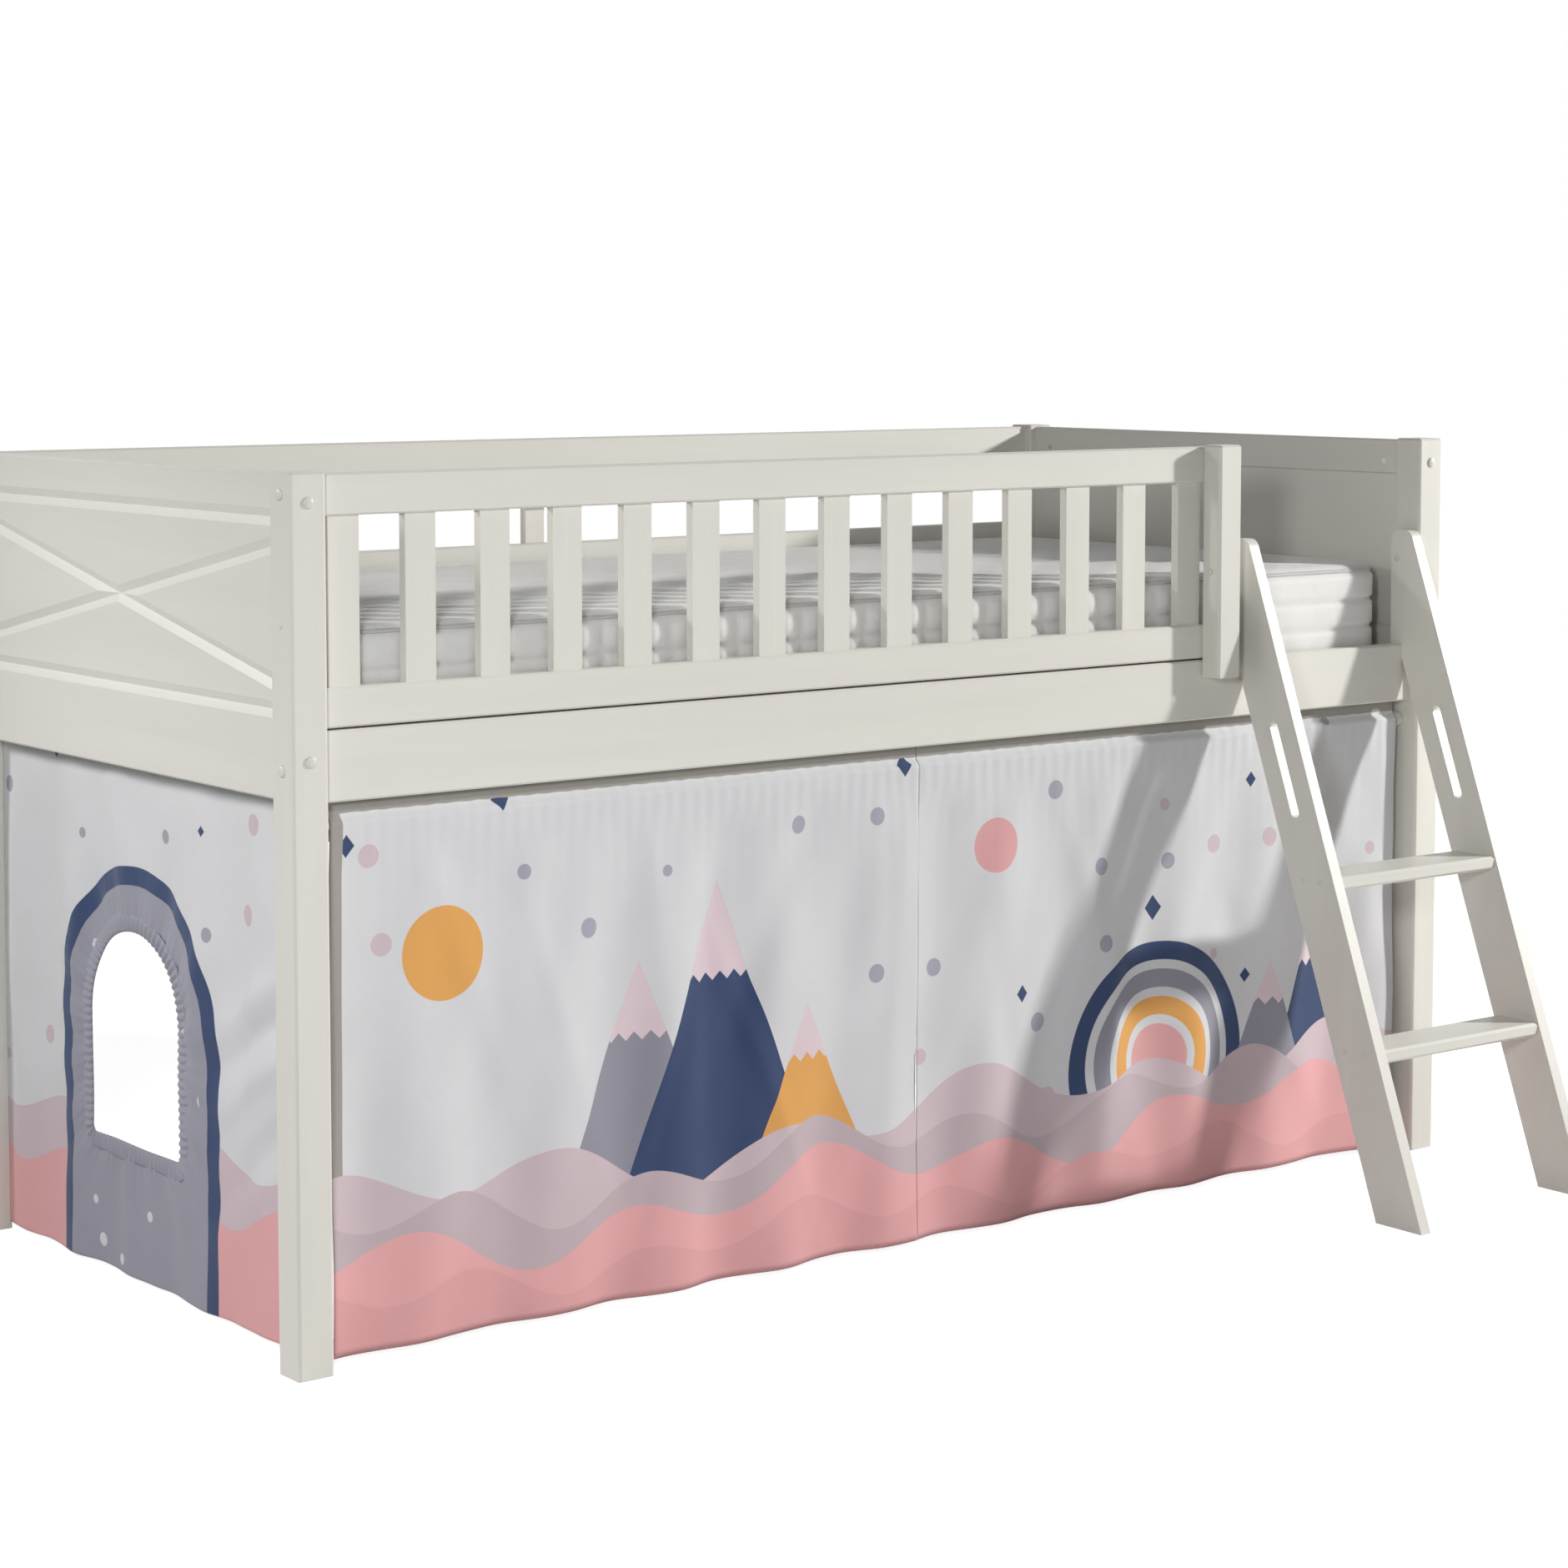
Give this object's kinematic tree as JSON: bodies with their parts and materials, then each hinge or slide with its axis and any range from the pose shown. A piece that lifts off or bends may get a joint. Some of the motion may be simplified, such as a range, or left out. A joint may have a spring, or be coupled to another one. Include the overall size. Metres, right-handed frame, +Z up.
{
  "type": "mid sleeper bed",
  "caption": "Painted wooden mid sleeper bed with grooved ends, a slatted guard, a leaning ladder, a mattress on slats and sliding den curtains.",
  "frame": {"origin": "floor level, under the middle of the bounding box", "axes": "+X along the bed from the left end to the ladder end, +Y from the guarded front to the rear, +Z up"},
  "size_m": [2.093, 1.348, 1.14],
  "materials": {
    "painted_wood": "satin off-white paint",
    "pine": "bare planed pine",
    "hardware_steel": "zinc plated",
    "cap_plastic": "moulded white",
    "rod_metal": "white powder coat",
    "mattress_fabric": "quilted white ticking",
    "curtain_fabric": "printed cotton",
    "webbing": "woven strap",
    "hook_tape": "hook and loop tape"
  },
  "bodies": {
    "frame": {"post_front_left": "painted_wood", "post_front_right": "painted_wood", "post_rear_left": "painted_wood", "post_rear_right": "painted_wood", "end_top_rail_left": "painted_wood", "end_panel_left": "painted_wood", "end_bottom_rail_left": "painted_wood", "end_top_rail_right": "painted_wood", "end_panel_right": "painted_wood", "end_bottom_rail_right": "painted_wood", "side_rail_front": "painted_wood", "side_rail_rear": "painted_wood", "rear_middle_board": "painted_wood", "rear_top_board": "painted_wood", "rear_upright": "painted_wood", "guard_top_rail": "painted_wood", "guard_bottom_rail": "painted_wood", "guard_slats": "painted_wood", "guard_end_post": "painted_wood", "ledger_front": "pine", "ledger_rear": "pine", "base_slats": "pine", "dowels": "pine", "post_bolts": "hardware_steel", "barrel_nuts": "hardware_steel", "rear_upright_screws": "hardware_steel", "guard_post_screws": "hardware_steel", "ledger_screws": "hardware_steel", "bolt_caps": "cap_plastic", "hole_plugs_frame": "cap_plastic", "rod_sockets": "cap_plastic", "curtain_rod": "rod_metal", "slat_webbing": "webbing", "curtain_end_left": "curtain_fabric", "curtain_end_right": "curtain_fabric", "curtain_tape_left": "hook_tape", "curtain_tape_right": "hook_tape"},
    "ladder": {"ladder_stile_left": "painted_wood", "ladder_stile_right": "painted_wood", "ladder_tread_lower": "painted_wood", "ladder_tread_upper": "painted_wood", "ladder_screws": "hardware_steel", "ladder_screw_caps": "cap_plastic", "hole_plug_ladder": "cap_plastic"},
    "mattress": {"mattress": "mattress_fabric"},
    "front_left_curtain": {"curtain_front_left": "curtain_fabric"},
    "front_right_curtain": {"curtain_front_right": "curtain_fabric"}
  },
  "joints": [
    {"name": "ladder_lift", "type": "slide", "parent": "frame", "child": "ladder", "axis": [0, 0, 1], "range_m": [0, 0.1]},
    {"name": "mattress_lift", "type": "slide", "parent": "frame", "child": "mattress", "axis": [0, 0, 1], "range_m": [0, 0.2]},
    {"name": "curtain_left_draw", "type": "slide", "parent": "frame", "child": "front_left_curtain", "axis": [-1, 0, 0], "range_m": [0, 0.6], "deforming": ["curtain_front_left"]},
    {"name": "curtain_right_draw", "type": "slide", "parent": "frame", "child": "front_right_curtain", "axis": [1, 0, 0], "range_m": [0, 0.6], "deforming": ["curtain_front_right"]}
  ]
}
